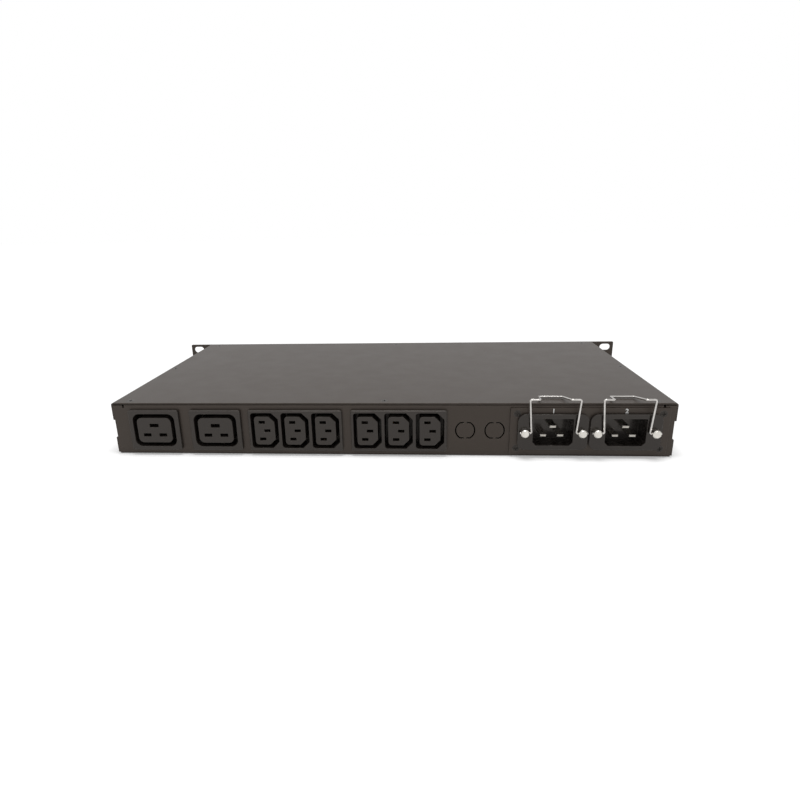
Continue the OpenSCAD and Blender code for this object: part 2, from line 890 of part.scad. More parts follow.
// Post with its cross hole and the threaded shank behind it.
module bail_posts() {
    for (s = [-1, 1])
        translate([s * post_pitch / 2, 0, 0])
            difference() {
                union() {
                    translate([0, flange_face_y, 0])
                        rotate([90, 0, 0]) cylinder(h = post_length - post_edge, d = post_d);
                    translate([0, flange_face_y - post_length + post_edge, 0])
                        rotate([90, 0, 0])
                            cylinder(h = post_edge, d1 = post_d, d2 = post_d - 2 * post_bevel);
                    translate([0, post_end_y, 0])
                        rotate([90, 0, 0])
                            cylinder(h = post_end_y - flange_face_y + eps, d = post_shank_d);
                }
                translate([-post_d, hinge_y, 0])
                    rotate([0, 90, 0]) cylinder(h = 2 * post_d, r = wire_d / 2 + wire_play);
            }
}

module bail_posts_a() {
    color("#e4e1da") at_inlet(0) bail_posts();
}

module bail_posts_b() {
    color("#e4e1da") at_inlet(1) bail_posts();
}

module post_nuts() {
    color("#b9b6b0")
    for (i = [0, 1], s = [-1, 1])
        at_inlet(i)
            translate([s * post_pitch / 2, rear_y + sheet + nut_t, 0])
                rotate([90, 0, 0])
                    difference() {
                        cylinder(h = nut_t, d = nut_w / cos(30), $fn = 6);
                        translate([0, 0, -1])
                            cylinder(h = nut_t + 2, d = post_shank_d + screw_play, $fn = 48);
                    }
}

function unit(v) = v / norm(v);

// One straight stretch of wire from a to b.
module wire_straight(a, b) {
    z = unit(b - a);
    x = unit(cross(abs(z[0]) < 0.9 ? [1, 0, 0] : [0, 1, 0], z));
    y = cross(z, x);
    multmatrix([[x[0], y[0], z[0], a[0]],
                [x[1], y[1], z[1], a[1]],
                [x[2], y[2], z[2], a[2]],
                [0, 0, 0, 1]])
        cylinder(h = norm(b - a), d = wire_d, $fn = 32);
}

// The bend that joins two stretches at the corner b.
module wire_bend(a, b, c, r) {
    u = unit(b - a);
    v = unit(c - b);
    turn = acos(u * v);
    w = unit(v - u * (u * v));
    n = cross(u, w);
    o = b - u * r * tan(turn / 2) + w * r;
    multmatrix([[-w[0], u[0], n[0], o[0]],
                [-w[1], u[1], n[1], o[1]],
                [-w[2], u[2], n[2], o[2]],
                [0, 0, 0, 1]])
        rotate_extrude(angle = turn, $fn = 64)
            translate([r, 0]) circle(d = wire_d + bend_swell, $fn = 32);
}

// How far a straight stretch ends before its corner: a little way into the bend there.
function bend_cut(a, b, c, r) = r * tan(acos(unit(b - a) * unit(c - b)) / 2) - bend_overlap;

// A wire through the points, with a bend of radius r at each inner one.
module bent_wire(points, r) {
    last = len(points) - 1;
    for (i = [0:last - 1]) {
        a = points[i];
        b = points[i + 1];
        cut_a = i == 0 ? 0 : bend_cut(points[i - 1], a, b, r);
        cut_b = i == last - 1 ? 0 : bend_cut(a, b, points[i + 2], r);
        wire_straight(a + unit(b - a) * cut_a, b - unit(b - a) * cut_b);
        if (i > 0) wire_bend(points[i - 1], a, b, r);
    }
}

// One half of the bail from its end in the post to the closed end of the cord loop.
function bail_half(s) =
    [[s * (post_pitch / 2 + post_d / 2 + wire_end), 0, 0],
     [s * leg_x, 0, 0],
     [s * (leg_x + leg_lean), 0, bail_height],
     [s * loop_mouth / 2, 0, bail_height],
     [s * loop_end / 2, loop_depth, bail_height - loop_drop]];

module bail() {
    left = bail_half(-1);
    right = bail_half(1);
    translate([0, hinge_y, 0])
        bent_wire(concat(left, [for (i = [len(right) - 1:-1:0]) right[i]]), wire_bend_r);
}

module bail_a() {
    color("#d5d2cb") at_inlet(0) bail();
}

module bail_b() {
    color("#d5d2cb") at_inlet(1) bail();
}

// ---- front controls ---------------------------------------------------------------

module display_window() {
    color("#20262a")
    across(front_plate - display_t, front_plate)
        translate([display_x, 0])
            rounded(display_w - 2 * display_play, display_h - 2 * display_play,
                    display_r - display_play);
}

module display_module() {
    color("#c8ccc4")
    across(front_board_y + board_t, -sheet - display_gap)
        translate([display_x, 0])
            centred(display_w - display_frame[0], display_h + display_frame[1]);
}

module push_button(i) {
    translate([button_x + i * button_pitch, 0, 0])
        rotate([90, 0, 0]) {
            translate([0, 0, -front_plate - button_proud + button_bevel])
                cylinder(h = front_plate + button_proud - button_bevel + sheet
                             + button_rest_gap + eps,
                         d = button_d);
            translate([0, 0, -front_plate - button_proud])
                cylinder(h = button_bevel, d1 = button_d - 2 * button_bevel, d2 = button_d);
            translate([0, 0, sheet + button_rest_gap])
                cylinder(h = button_flange_t, d = button_flange_d);
            translate([0, 0, sheet + button_rest_gap + button_flange_t - eps])
                cylinder(h = button_stem(), d = plunger_d);
        }
}

// Length of the stem behind the button flange, which ends short of its switch.
function button_stem() = -front_board_y - board_t - switch_h - plunger_h - sheet
    - 2 * button_rest_gap - button_flange_t - button_travel;

module button_menu() {
    color("#55524f") push_button(0);
}

module button_up() {
    color("#55524f") push_button(1);
}

module button_down() {
    color("#55524f") push_button(2);
}

module button_select() {
    color("#55524f") push_button(3);
}

module status_lamps() {
    color("#cfe0cf")
    for (i = [0:lamp_count - 1])
        translate([lamp_x + i * lamp_pitch, front_board_y + board_t, 0])
            rotate([-90, 0, 0]) {
                cylinder(h = -front_board_y - board_t + front_plate + lamp_proud, d = lamp_d);
                cylinder(h = lamp_foot, d = lamp_d + 2 * lamp_foot_w);
            }
}

module front_board() {
    color("#2d6b45")
    across(front_board_y, front_board_y + board_t)
        translate([front_board_x, 0]) centred(front_board_w, front_board_h);
    for (i = [0:button_count - 1])
        translate([button_x + i * button_pitch, 0, 0]) {
            across(front_board_y + board_t - eps, front_board_y + board_t + switch_h)
                centred(switch_w, switch_w);
            across(front_board_y + board_t + switch_h - eps,
                   front_board_y + board_t + switch_h + plunger_h)
                circle(d = plunger_d);
        }
    // spacers to the front wall
    for (x = [-1, 1], z = [-1, 1])
        translate([front_board_x + x * (front_board_w / 2 - spacer_inset[0]), -sheet,
                   z * (front_board_h / 2 - spacer_inset[1])])
            rotate([90, 0, 0])
                cylinder(h = -front_board_y - board_t - sheet + eps, d = spacer_d);
}

module network_port() {
    color("#9a9a98")
    difference() {
        across(front_plate - port_d, front_plate + port_proud)
            translate([port_x, board_top_z + port_h / 2]) centred(port_w, port_h);
        across(front_plate - port_mouth_depth, front_plate + 1)
            translate([port_x, board_top_z + port_h / 2]) {
                centred(port_mouth[0], port_mouth[1]);
                translate([0, -port_mouth[1] / 2]) centred(port_key[0], port_key[1]);
            }
    }
}

// ---- electronics ------------------------------------------------------------------

// Boards lie on stand-offs: [centre x, centre y, width, depth].
boards = [[power_board_x, power_board_y, power_board_w, power_board_d],
          [control_board_x, control_board_y, control_board_w, control_board_d]];

module at_board_holes() {
    for (b = boards, x = [-1, 1], y = [-1, 1])
        translate([b[0] + x * (b[2] / 2 - board_hole_inset),
                   b[1] + y * (b[3] / 2 - board_hole_inset), 0])
            children();
}

module board(b) {
    difference() {
        translate([b[0] - b[2] / 2, b[1] - b[3] / 2, board_z]) cube([b[2], b[3], board_t]);
        at_board_holes() translate([0, 0, board_z - 1]) cylinder(h = board_t + 2, d = hole_d);
    }
}

module power_board() {
    color("#2d6b45") board(boards[0]);
}

module control_board() {
    color("#2d6b45") board(boards[1]);
}

module board_standoffs() {
    color("#b9b6b0")
    at_board_holes()
        translate([0, 0, floor_z])
            difference() {
                cylinder(h = standoff_h, d = standoff_d, $fn = 6);
                translate([0, 0, standoff_floor])
                    cylinder(h = standoff_h, d = hole_d, $fn = 48);
            }
}

module board_screws() {
    color("#b9b6b0")
    at_board_holes()
        translate([0, 0, board_top_z]) {
            cylinder(h = pan_head_h, d = pan_head_d);
            translate([0, 0, -board_t - thread_grip])
                cylinder(h = board_t + thread_grip + eps, d = screw_d);
        }
}

// Base plate with fins along its rear half; the thyristor modules sit on the front half.
module heatsink() {
    color("#b4b6b8")
    difference() {
        translate([heatsink_x - heatsink_w / 2, heatsink_y - heatsink_d / 2, floor_z]) {
            cube([heatsink_w, heatsink_d, heatsink_base]);
            for (i = [0:fin_count - 1])
                translate([0, i * (heatsink_d - module_size[1] - fin_clear - fin_t)
                                  / (fin_count - 1),
                           heatsink_base - eps])
                    cube([heatsink_w, fin_t, fin_h]);
        }
        at_module_holes()
            translate([0, 0, floor_z + 1]) cylinder(h = heatsink_base, d = hole_d);
    }
}

module at_modules() {
    for (i = [0:module_count - 1])
        translate([heatsink_x + (i - (module_count - 1) / 2) * module_pitch,
                   heatsink_y + heatsink_d / 2 - module_size[1] / 2, floor_z + heatsink_base])
            children();
}

module at_module_holes() {
    for (i = [0:module_count - 1], s = [-1, 1])
        translate([heatsink_x + (i - (module_count - 1) / 2) * module_pitch
                       + s * (module_size[0] / 2 - module_hole_inset),
                   heatsink_y + heatsink_d / 2 - module_size[1] / 2, 0])
            children();
}

module thyristor_modules() {
    color("#2a2a2c")
    difference() {
        at_modules() {
            translate([-module_size[0] / 2, -module_size[1] / 2, 0])
                cube([module_size[0], module_size[1], module_foot_t]);
            translate([-module_size[0] / 2 + module_foot, -module_size[1] / 2, 0])
                cube([module_size[0] - 2 * module_foot, module_size[1], module_size[2]]);
        }
        at_module_holes()
            translate([0, 0, floor_z])
                cylinder(h = heatsink_base + module_size[2], d = hole_d);
    }
}

module module_screws() {
    color("#b9b6b0")
    at_module_holes()
        translate([0, 0, floor_z + heatsink_base + module_foot_t]) {
            cylinder(h = pan_head_h, d = pan_head_d);
            translate([0, 0, -module_foot_t - thread_grip])
                cylinder(h = module_foot_t + thread_grip + eps, d = screw_d);
        }
}

// Parts on the power board, from its rear edge forward.
module on_power_board(x, y) {
    translate([power_board_x + x, power_board_y + y, board_top_z]) children();
}

module relays() {
    color("#28303f")
    for (i = [0:relay_count - 1])
        on_power_board(-power_board_w / 2 + relay_edge + i * relay_pitch, 0)
            translate([0, relay_size[1] / 2, 0])
                rotate([90, 0, 0])
                    linear_extrude(relay_size[1])
                        polygon([[-relay_size[0] / 2, 0], [relay_size[0] / 2, 0],
                                 [relay_size[0] / 2, relay_size[2] - relay_bevel],
                                 [relay_size[0] / 2 - relay_bevel, relay_size[2]],
                                 [-relay_size[0] / 2 + relay_bevel, relay_size[2]],
                                 [-relay_size[0] / 2, relay_size[2] - relay_bevel]]);
}

module current_sensors() {
    color("#2f4d7a")
    for (i = [0, 1])
        on_power_board(sensor_at[0] + i * sensor_pitch, sensor_at[1])
            translate([0, 0, sensor_d / 2])
                rotate([0, 90, 0])
                    rotate_extrude()
                        translate([(sensor_d + sensor_bore) / 4, 0])
                            centred((sensor_d - sensor_bore) / 2, sensor_w);
}

// Core with its winding around the middle.
module supply_transformers() {
    color("#c8b43c")
    for (i = [0, 1])
        on_power_board(transformer_at[0] + i * transformer_pitch, transformer_at[1]) {
            translate([-core_size[0] / 2, -core_size[1] / 2, 0]) cube(core_size);
            translate([-winding_size[0] / 2, -winding_size[1] / 2,
                       (core_size[2] - winding_size[2]) / 2])
                cube(winding_size);
        }
}

// Sleeved cans with a crimp groove near the foot.
module capacitors() {
    color("#3a4a6a")
    for (i = [0:capacitor_count - 1])
        on_power_board(capacitor_at[0] + i * capacitor_pitch, capacitor_at[1])
            difference() {
                cylinder(h = capacitor_h, d = capacitor_d);
                translate([0, 0, crimp_z])
                    rotate_extrude() translate([capacitor_d / 2, 0]) circle(crimp_t / 2);
            }
}

module at_fuses() {
    for (i = [0, 1])
        on_power_board(fuse_at[0] + i * fuse_pitch, fuse_at[1]) children();
}

module fuse_holders() {
    color("#c9a352")
    at_fuses()
        for (s = [-1, 1])
            translate([s * fuse_grip - holder_size[0] / 2, -holder_size[1] / 2, 0])
                difference() {
                    cube(holder_size);
                    translate([-1, holder_wall, holder_floor])
                        cube([holder_size[0] + 2, holder_size[1] - 2 * holder_wall,
                              holder_size[2]]);
                }
}

module fuses() {
    color("#e3e6e8")
    at_fuses()
        translate([-fuse_length / 2, 0, fuse_axis_z])
            rotate([0, 90, 0]) cylinder(h = fuse_length, d = fuse_d);
}

// Three-way blocks: wire mouths towards the rear, clamp screws from above.
module terminal_blocks() {
    color("#3f7f4f")
    for (x = terminals_x)
        on_power_board(x, -power_board_d / 2 + terminal_row)
            difference() {
                translate([-terminal_size[0] / 2, -terminal_size[1] / 2, 0])
                    cube(terminal_size);
                for (i = [-1:1])
                    translate([i * terminal_pitch, -terminal_size[1] / 2 - 1,
                               terminal_bore_z])
                        rotate([-90, 0, 0])
                            cylinder(h = terminal_bore_depth + 1, d = terminal_bore);
                for (i = [-1:1])
                    translate([i * terminal_pitch, 0,
                               terminal_size[2] - terminal_screw_depth])
                        cylinder(h = terminal_screw_depth + 1, d = terminal_screw_d);
            }
}

module control_chips() {
    color("#26262a")
    for (p = chips_at)
        translate([control_board_x + p[0] - p[2] / 2, control_board_y + p[1] - p[2] / 2,
                   board_top_z])
            cube([p[2], p[2], chip_t]);
}

chassis_tray();
top_cover();
front_panel();
inlet_plate();
cover_screws();
panel_screws();
plate_screws();
c19_outlet_1();
c19_outlet_2();
c19_contacts();
c13_bank_1();
c13_bank_2();
c13_contacts();
c20_inlet_a();
c20_inlet_b();
inlet_blades_a();
inlet_blades_b();
bail_posts_a();
bail_posts_b();
post_nuts();
bail_a();
bail_b();
display_window();
display_module();
button_menu();
button_up();
button_down();
button_select();
status_lamps();
network_port();
front_board();
control_board();
power_board();
board_standoffs();
board_screws();
heatsink();
thyristor_modules();
module_screws();
relays();
current_sensors();
supply_transformers();
capacitors();
fuse_holders();
fuses();
terminal_blocks();
control_chips();
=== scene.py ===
import math

import bpy
from mathutils import Matrix, Vector


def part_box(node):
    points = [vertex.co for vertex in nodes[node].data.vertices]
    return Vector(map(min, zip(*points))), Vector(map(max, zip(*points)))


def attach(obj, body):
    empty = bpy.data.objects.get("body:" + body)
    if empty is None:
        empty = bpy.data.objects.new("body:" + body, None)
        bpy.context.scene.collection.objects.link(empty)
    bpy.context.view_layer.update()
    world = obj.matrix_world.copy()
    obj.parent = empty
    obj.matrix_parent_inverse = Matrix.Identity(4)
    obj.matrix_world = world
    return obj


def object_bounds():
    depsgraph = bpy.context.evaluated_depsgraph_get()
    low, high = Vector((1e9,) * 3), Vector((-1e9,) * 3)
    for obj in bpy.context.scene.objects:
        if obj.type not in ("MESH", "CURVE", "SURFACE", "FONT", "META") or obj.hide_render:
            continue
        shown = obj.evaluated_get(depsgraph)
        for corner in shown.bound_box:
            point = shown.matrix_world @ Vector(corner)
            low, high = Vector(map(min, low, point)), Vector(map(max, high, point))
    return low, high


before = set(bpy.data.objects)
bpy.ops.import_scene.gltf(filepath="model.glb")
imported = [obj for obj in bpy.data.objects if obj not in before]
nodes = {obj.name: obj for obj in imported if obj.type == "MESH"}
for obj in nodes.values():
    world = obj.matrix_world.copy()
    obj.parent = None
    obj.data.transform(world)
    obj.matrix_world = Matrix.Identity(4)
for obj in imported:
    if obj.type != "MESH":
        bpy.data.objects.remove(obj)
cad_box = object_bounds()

MM = 0.001
scene = bpy.context.scene


# ---------------------------------------------------------------- shader graphs

class Graph:
    """A material's node tree, with short calls for the nodes it is made of."""

    def __init__(self, name):
        self.material = bpy.data.materials.new(name)
        self.material.use_nodes = True
        self.tree = self.material.node_tree
        self.tree.nodes.clear()
        self.out = self.tree.nodes.new("ShaderNodeOutputMaterial")
        self.place = self.add("ShaderNodeTexCoord").outputs["Object"]

    def add(self, kind, **settings):
        node = self.tree.nodes.new(kind)
        for key, value in settings.items():
            setattr(node, key, value)
        return node

    def feed(self, socket, value):
        if isinstance(value, bpy.types.NodeSocket):
            self.tree.links.new(value, socket)
        elif value is not None:
            socket.default_value = value

    def math(self, operation, a, b=None):
        node = self.add("ShaderNodeMath", operation=operation)
        self.feed(node.inputs[0], a)
        self.feed(node.inputs[1], b)
        return node.outputs[0]

    def stretched(self, stretch):
        if stretch == (1, 1, 1):
            return self.place
        node = self.add("ShaderNodeMapping")
        node.inputs["Scale"].default_value = stretch
        self.feed(node.inputs["Vector"], self.place)
        return node.outputs["Vector"]

    def noise(self, size, detail=2.0, roughness=0.5, stretch=(1, 1, 1)):
        """Noise whose features are about `size` metres across."""
        node = self.add("ShaderNodeTexNoise")
        self.feed(node.inputs["Vector"], self.stretched(stretch))
        node.inputs["Scale"].default_value = 1.0 / size
        node.inputs["Detail"].default_value = detail
        node.inputs["Roughness"].default_value = roughness
        return node.outputs["Fac"]

    def cell_edges(self, size):
        """Distance to the borders of irregular cells, each about `size` metres across."""
        node = self.add("ShaderNodeTexVoronoi", feature="DISTANCE_TO_EDGE")
        self.feed(node.inputs["Vector"], self.place)
        node.inputs["Scale"].default_value = 1.0 / size
        return node.outputs["Distance"]

    def span(self, value, low, high, to_low=0.0, to_high=1.0):
        """`value` carried from low..high to to_low..to_high, and held there past both ends."""
        node = self.add("ShaderNodeMapRange")
        self.feed(node.inputs["Value"], value)
        ends = {"From Min": low, "From Max": high, "To Min": to_low, "To Max": to_high}
        for key, end in ends.items():
            node.inputs[key].default_value = end
        return node.outputs["Result"]

    def mix(self, factor, a, b):
        node = self.add("ShaderNodeMix", data_type="RGBA")
        self.feed(node.inputs["Factor"], factor)
        self.feed(node.inputs["A"], a if isinstance(a, bpy.types.NodeSocket) else (*a, 1))
        self.feed(node.inputs["B"], b if isinstance(b, bpy.types.NodeSocket) else (*b, 1))
        return node.outputs["Result"]

    def axis(self, letter):
        node = self.add("ShaderNodeSeparateXYZ")
        self.feed(node.inputs[0], self.place)
        return node.outputs[letter]

    def bevel(self, radius):
        node = self.add("ShaderNodeBevel", samples=4)
        node.inputs["Radius"].default_value = radius
        return node.outputs["Normal"]

    def edge(self, rounded):
        """1 on the rounded band along an edge, 0 on the flats."""
        geometry = self.add("ShaderNodeNewGeometry")
        dot = self.add("ShaderNodeVectorMath", operation="DOT_PRODUCT")
        self.feed(dot.inputs[0], geometry.outputs["Normal"])
        self.feed(dot.inputs[1], rounded)
        return self.span(dot.outputs["Value"], 0.998, 0.93)

    def bump(self, height, depth, normal=None):
        node = self.add("ShaderNodeBump")
        node.inputs["Strength"].default_value = 1.0
        node.inputs["Distance"].default_value = depth
        self.feed(node.inputs["Height"], height)
        self.feed(node.inputs["Normal"], normal)
        return node.outputs["Normal"]

    def surface(self, colour, rough, normal, **sockets):
        shader = self.add("ShaderNodeBsdfPrincipled")
        self.feed(shader.inputs["Base Color"], colour)
        self.feed(shader.inputs["Roughness"], rough)
        self.feed(shader.inputs["Normal"], normal)
        for key, value in sockets.items():
            self.feed(shader.inputs[key.replace("_", " ")], value)
        self.feed(self.out.inputs["Surface"], shader.outputs[0])
        return self.material


def coated(name, dark, light, rough, grain, depth, edge, patch, edge_wear_and_highlight=None, **sockets):
    """A painted or moulded surface: two tones, a fine grain, softened edges, lightened partly as rubbed
    wear and partly as a painted highlight.
    """
    g = Graph(name)
    rounded = g.bevel(edge)
    colour = g.mix(g.span(g.noise(patch, 4, 0.6), 0.35, 0.65), dark, light)
    if edge_wear_and_highlight:
        # Lighter colour along the rounded edges: partly rubbed wear, partly a painted highlight where
        # the edges would catch the light.
        rub_and_highlight = g.math("MULTIPLY", g.edge(rounded), g.span(g.noise(patch * 0.4, 3), 0.35, 0.6))
        colour = g.mix(rub_and_highlight, colour, edge_wear_and_highlight)
    roughness = g.span(g.noise(patch * 0.5, 3), 0.3, 0.7, *rough)
    peel = g.math("ADD", g.noise(grain, 2, 0.6), g.math("MULTIPLY", g.noise(grain * 4, 2), 0.6))
    return g.surface(colour, roughness, g.bump(peel, depth, rounded), **sockets)


def metal(name, dark, light, rough, patch, lines=(1, 1, 1), depth=4e-6):
    """A bare or plated metal: two tones, fine drawn or turned lines, softened edges."""
    g = Graph(name)
    rounded = g.bevel(0.2 * MM)
    colour = g.mix(g.span(g.noise(patch, 4, 0.65), 0.3, 0.7), dark, light)
    scratch = g.noise(0.6 * MM, 3, 0.6, lines)
    roughness = g.span(g.math("MULTIPLY", scratch, g.noise(patch, 3)), 0.12, 0.42, *rough)
    return g.surface(colour, roughness, g.bump(scratch, depth, rounded), Metallic=1.0)


# ---------------------------------------------------------------- materials

LAMP_COUNT = 5


def circuit_board():
    """Green solder mask over slightly raised copper."""
    g = Graph("board_green")
    rounded = g.bevel(0.1 * MM)
    tracks = g.span(g.cell_edges(6 * MM), 0.05, 0.07)
    mask = g.mix(g.noise(20 * MM, 3), (0.004, 0.040, 0.018), (0.006, 0.055, 0.024))
    colour = g.mix(tracks, (0.012, 0.110, 0.050), mask)
    rough = g.span(g.noise(4 * MM, 3), 0.3, 0.7, 0.28, 0.40)
    return g.surface(colour, rough, g.bump(tracks, 2e-5, rounded), IOR=1.5)


def wound_coil():
    """Yellow tape round the middle of each transformer, between the dark ends of its core."""
    low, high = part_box("supply_transformers")
    g = Graph("coil_plastic")
    rounded = g.bevel(0.4 * MM)
    off_middle = g.math("ABSOLUTE", g.math("SUBTRACT", g.axis("Z"), (low.z + high.z) / 2))
    band = g.span(off_middle, 6.2 * MM, 6.6 * MM)
    colour = g.mix(band, (0.62, 0.40, 0.045), (0.035, 0.032, 0.030))
    colour = g.mix(g.span(g.noise(4 * MM, 4), 0.3, 0.8, 0.0, 0.25), colour, (0.02, 0.018, 0.015))
    turns = g.noise(0.8 * MM, 2, 0.5, (0.15, 0.15, 1.6))
    rough = g.span(g.noise(6 * MM), 0.3, 0.7, 0.32, 0.48)
    return g.surface(colour, rough, g.bump(turns, 6e-5, rounded), IOR=1.5)


def sleeve():
    """A dark plastic sleeve, with the bare aluminium of the can at its top."""
    low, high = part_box("capacitors")
    g = Graph("capacitor_sleeve")
    rounded = g.bevel(0.3 * MM)
    top = g.span(g.axis("Z"), high.z - 0.9 * MM, high.z - 0.7 * MM)
    skin = g.mix(g.noise(6 * MM, 3), (0.012, 0.014, 0.020), (0.018, 0.020, 0.028))
    colour = g.mix(top, skin, (0.55, 0.55, 0.56))
    rough = g.span(g.noise(3 * MM), 0.3, 0.7, 0.22, 0.34)
    return g.surface(colour, rough, g.bump(g.noise(2 * MM), 2e-5, rounded), IOR=1.5)


def glass(name, tint, rough):
    g = Graph(name)
    colour = g.mix(g.noise(4 * MM, 3), tint, tuple(min(1.0, c * 1.08) for c in tint))
    roughness = g.span(g.noise(8 * MM, 3), 0.3, 0.7, *rough)
    ripple = g.bump(g.noise(12 * MM, 2), 1.5e-5, g.bevel(0.2 * MM))
    return g.surface(colour, roughness, ripple, IOR=1.49, Transmission_Weight=1.0)


def lamps():
    """Tinted lamp lenses in a row: green, then amber, then red as the last one."""
    low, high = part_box("status_lamps")
    lens = high.z - low.z
    pitch = (high.x - low.x - lens) / (LAMP_COUNT - 1)
    last = high.x - lens / 2
    g = Graph("lamp_clear")
    along = g.axis("X")
    past_green = g.math("GREATER_THAN", along, last - 1.5 * pitch)
    past_amber = g.math("GREATER_THAN", along, last - 0.5 * pitch)
    colour = g.mix(past_green, (0.10, 0.55, 0.16), (0.85, 0.42, 0.05))
    colour = g.mix(past_amber, colour, (0.62, 0.05, 0.035))
    colour = g.mix(g.span(g.noise(1 * MM, 3), 0.3, 0.8, 0.0, 0.3), colour, (0.75, 0.75, 0.72))
    rough = g.span(g.noise(2 * MM), 0.3, 0.7, 0.12, 0.22)
    ripple = g.bump(g.noise(1.2 * MM), 1e-5, g.bevel(0.3 * MM))
    return g.surface(colour, rough, ripple, IOR=1.5, Transmission_Weight=0.35)


def display_face():
    """A liquid crystal panel in a dark frame, with its faint rows of cells."""
    low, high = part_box("display_module")
    g = Graph("display_grey")
    rounded = g.bevel(0.2 * MM)
    off_x = g.math("ABSOLUTE", g.math("SUBTRACT", g.axis("X"), (low.x + high.x) / 2))
    off_z = g.math("ABSOLUTE", g.axis("Z"))
    past_side = g.span(off_x, 28.8 * MM, 29.0 * MM)
    past_top = g.span(off_z, 7.6 * MM, 7.8 * MM)
    across = g.math("PINGPONG", g.axis("X"), 1.75 * MM)
    up = g.math("PINGPONG", g.axis("Z"), 3.4 * MM)
    cells = g.math("MULTIPLY", g.span(across, 0.2 * MM, 0.35 * MM), g.span(up, 0.3 * MM, 0.6 * MM))
    pane = g.mix(cells, (0.20, 0.26, 0.16), (0.165, 0.225, 0.135))
    pane = g.mix(g.noise(20 * MM, 2), pane, (0.19, 0.245, 0.15))
    colour = g.mix(g.math("MAXIMUM", past_side, past_top), pane, (0.030, 0.028, 0.026))
    rough = g.span(g.noise(3 * MM), 0.3, 0.7, 0.2, 0.32)
    return g.surface(colour, rough, g.bump(g.noise(0.6 * MM), 1e-5, rounded), IOR=1.5)


WARM = (1.0, 0.93, 0.87, 1.0)

FINISHES = {
    # The lighter edge colours given here are partly rubbed wear and partly a painted highlight along
    # the edges.
    "case_black": coated(
        "case_black", (0.0160, 0.0108, 0.0080), (0.0174, 0.0118, 0.0088), (0.445, 0.475),
        grain=0.6 * MM, depth=2.2e-5, edge=0.4 * MM, patch=30 * MM, edge_wear_and_highlight=(0.075, 0.066, 0.058),
        IOR=1.5, Specular_Tint=(1.0, 0.90, 0.81, 1.0)),
    "screw_black": coated(
        "screw_black", (0.0060, 0.0050, 0.0044), (0.0085, 0.0070, 0.0060), (0.30, 0.42),
        grain=0.4 * MM, depth=0.6e-5, edge=0.2 * MM, patch=3 * MM, edge_wear_and_highlight=(0.090, 0.084, 0.078),
        IOR=1.45, Specular_Tint=(1.0, 0.92, 0.85, 1.0)),
    "socket_plastic": coated(
        "socket_plastic", (0.0116, 0.0092, 0.0080), (0.0136, 0.0108, 0.0094), (0.42, 0.50),
        grain=0.4 * MM, depth=1.0e-5, edge=0.4 * MM, patch=20 * MM, edge_wear_and_highlight=(0.070, 0.062, 0.055),
        IOR=1.48, Specular_Tint=WARM),
    "inlet_plastic": coated(
        "inlet_plastic", (0.0100, 0.0082, 0.0072), (0.0120, 0.0098, 0.0086), (0.18, 0.25),
        grain=0.8 * MM, depth=0.5e-5, edge=0.4 * MM, patch=15 * MM, edge_wear_and_highlight=(0.060, 0.053, 0.047),
        IOR=1.45, Specular_Tint=WARM),
    "button_plastic": coated(
        "button_plastic", (0.040, 0.037, 0.035), (0.050, 0.046, 0.043), (0.42, 0.54),
        grain=0.5 * MM, depth=1.2e-5, edge=0.4 * MM, patch=6 * MM, IOR=1.5),
    "chip_black": coated(
        "chip_black", (0.014, 0.014, 0.015), (0.020, 0.020, 0.021), (0.42, 0.56),
        grain=0.3 * MM, depth=1.2e-5, edge=0.2 * MM, patch=4 * MM, IOR=1.5),
    "relay_plastic": coated(
        "relay_plastic", (0.016, 0.022, 0.040), (0.022, 0.030, 0.052), (0.28, 0.40),
        grain=0.5 * MM, depth=1.0e-5, edge=0.4 * MM, patch=8 * MM, IOR=1.5),
    "terminal_plastic": coated(
        "terminal_plastic", (0.020, 0.110, 0.045), (0.028, 0.140, 0.058), (0.34, 0.48),
        grain=0.5 * MM, depth=1.2e-5, edge=0.3 * MM, patch=8 * MM, IOR=1.5),
    "contact_brass": metal(
        "contact_brass", (0.62, 0.40, 0.17), (0.75, 0.52, 0.25), (0.25, 0.42), patch=4 * MM),
    "blade_nickel": metal(
        "blade_nickel", (0.34, 0.32, 0.29), (0.46, 0.44, 0.40), (0.24, 0.38), patch=4 * MM,
        lines=(1.0, 0.08, 1.0), depth=6e-6),
    "post_nickel": metal(
        "post_nickel", (0.52, 0.50, 0.46), (0.64, 0.62, 0.58), (0.22, 0.36), patch=4 * MM, depth=5e-6),
    "bail_steel": metal(
        "bail_steel", (0.40, 0.385, 0.365), (0.54, 0.52, 0.50), (0.16, 0.30), patch=5 * MM),
    "port_shell": metal(
        "port_shell", (0.56, 0.56, 0.55), (0.68, 0.68, 0.67), (0.18, 0.34), patch=4 * MM,
        lines=(1.0, 0.1, 1.0)),
    "heatsink_aluminium": metal(
        "heatsink_aluminium", (0.58, 0.59, 0.60), (0.70, 0.71, 0.72), (0.26, 0.42), patch=20 * MM,
        lines=(0.04, 1.0, 1.0), depth=8e-6),
    "window_clear": glass("window_clear", (0.80, 0.83, 0.82), (0.03, 0.07)),
    "fuse_glass": glass("fuse_glass", (0.86, 0.88, 0.88), (0.03, 0.08)),
    "display_grey": display_face(),
    "lamp_clear": lamps(),
    "board_green": circuit_board(),
    "coil_plastic": wound_coil(),
    "capacitor_sleeve": sleeve(),
}

for node in nodes.values():
    for slot in node.material_slots:
        slot.material = FINISHES[slot.material.name.split(".")[0]]


# ---------------------------------------------------------------- printed inlet numbers

def printed_ink():
    g = Graph("printed_ink")
    colour = g.mix(g.noise(0.8 * MM, 3), (0.66, 0.66, 0.65), (0.78, 0.78, 0.77))
    rough = g.span(g.noise(1 * MM), 0.3, 0.7, 0.45, 0.6)
    return g.surface(colour, rough, g.bump(g.noise(0.3 * MM), 4e-6), IOR=1.5)


